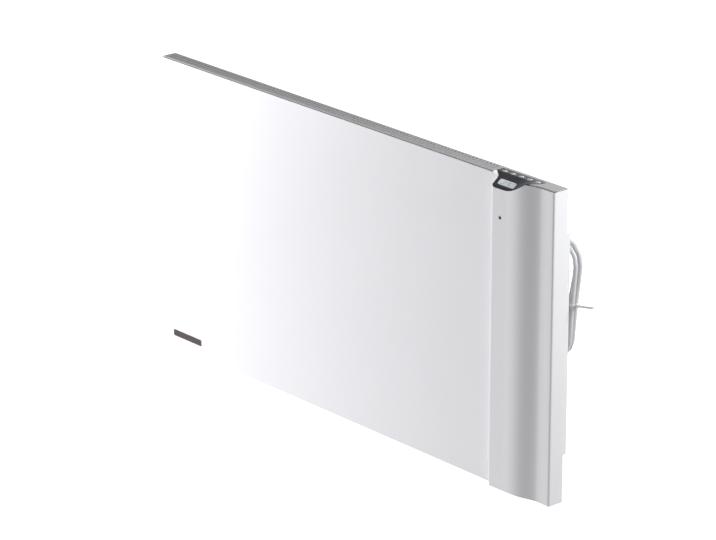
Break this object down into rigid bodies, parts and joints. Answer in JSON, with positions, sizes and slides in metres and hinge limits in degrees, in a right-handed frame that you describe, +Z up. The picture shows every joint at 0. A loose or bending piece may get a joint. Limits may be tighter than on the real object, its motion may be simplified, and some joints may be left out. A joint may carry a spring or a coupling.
{
  "type": "wall panel convector heater",
  "caption": "Slim white wall convector heater with a raised wave down its right side, a dark control bezel with display and buttons, a grey top grille, a wall bracket and a tied mains cord.",
  "frame": {"origin": "centre of the wall bracket's rear face, on the wall plane", "axes": "+Z up, +Y into the wall, -Y into the room (the front panel faces -Y), +X to the right as seen from the room"},
  "size_m": [0.9263, 0.0651, 0.4835],
  "materials": {
    "white_paint": "satin white powder coat",
    "grey_paint": "matt silver-grey paint",
    "galvanised": "dull zinc",
    "steel": "satin",
    "bare_aluminium": "bare",
    "plate_metal": "satin, blank",
    "black_gloss": "glossy",
    "display_lens": "clear lens over a pale display",
    "silver_plastic": "satin silver",
    "dark_plastic": "satin",
    "grey_plastic": "matt",
    "circuit_board": "laminate",
    "black_rubber": "matt",
    "cord_grey": "smooth light grey",
    "brown_sheath": "insulated wire",
    "blue_sheath": "insulated wire",
    "pin_metal": "nickel-plated"
  },
  "bodies": {
    "wall_bracket": {"bracket_upper_rail": "galvanised", "bracket_lower_rail": "galvanised", "bracket_spine": "galvanised"},
    "heater": {"front_panel": "white_paint", "top_grille": "grey_paint", "bottom_grille": "white_paint", "lower_rear_plate": "white_paint", "rear_cover": "white_paint", "side_rail_left": "galvanised", "side_rail_right": "galvanised", "cover_screw_1": "steel", "cover_screw_2": "steel", "cover_screw_3": "steel", "cover_screw_4": "steel", "name_plate": "plate_metal", "wall_spacer_left": "black_rubber", "wall_spacer_right": "black_rubber", "control_bezel": "black_gloss", "display_window": "display_lens", "lcd_module": "grey_plastic", "display_board": "circuit_board", "button_board": "circuit_board", "key_mat": "black_rubber", "sensor_window": "dark_plastic", "presence_sensor": "steel", "control_partition": "galvanised", "power_board": "circuit_board", "board_carrier": "grey_plastic", "relay": "dark_plastic", "capacitor": "dark_plastic", "transformer": "steel", "heat_sink": "bare_aluminium", "terminal_block": "grey_plastic", "ribbon_cable": "grey_plastic", "room_sensor": "dark_plastic", "sensor_clip": "grey_plastic", "element_fins": "bare_aluminium", "element_rod": "steel", "element_bracket_left": "galvanised", "element_bracket_right": "galvanised", "heat_shield": "bare_aluminium", "thermal_cutout": "dark_plastic", "live_wire": "brown_sheath", "neutral_wire": "blue_sheath", "return_wire": "brown_sheath", "cable_outlet": "cord_grey", "bend_protector": "cord_grey", "cord_lead": "cord_grey", "cord_hank": "cord_grey", "cord_tail": "cord_grey", "mains_plug": "cord_grey", "plug_pin_left": "pin_metal", "plug_pin_right": "pin_metal", "cable_tie": "cord_grey"},
    "key_1": {"button_1": "silver_plastic"},
    "key_2": {"button_2": "silver_plastic"},
    "key_3": {"button_3": "silver_plastic"},
    "key_4": {"button_4": "silver_plastic"},
    "key_5": {"button_5": "silver_plastic"}
  },
  "joints": [
    {"name": "lift_off", "type": "slide", "parent": "wall_bracket", "child": "heater", "axis": [0, 0, 1], "range_m": [0, 0.015]},
    {"name": "key_1_press", "type": "slide", "parent": "heater", "child": "key_1", "axis": [0, 0, -1], "range_m": [0, 0.0008], "stiffness_N_per_m": 400, "springref_m": -0.0005},
    {"name": "key_2_press", "type": "slide", "parent": "heater", "child": "key_2", "axis": [0, 0, -1], "range_m": [0, 0.0008], "stiffness_N_per_m": 400, "springref_m": -0.0005},
    {"name": "key_3_press", "type": "slide", "parent": "heater", "child": "key_3", "axis": [0, 0, -1], "range_m": [0, 0.0008], "stiffness_N_per_m": 400, "springref_m": -0.0005},
    {"name": "key_4_press", "type": "slide", "parent": "heater", "child": "key_4", "axis": [0, 0, -1], "range_m": [0, 0.0008], "stiffness_N_per_m": 400, "springref_m": -0.0005},
    {"name": "key_5_press", "type": "slide", "parent": "heater", "child": "key_5", "axis": [0, 0, -1], "range_m": [0, 0.0008], "stiffness_N_per_m": 400, "springref_m": -0.0005}
  ]
}
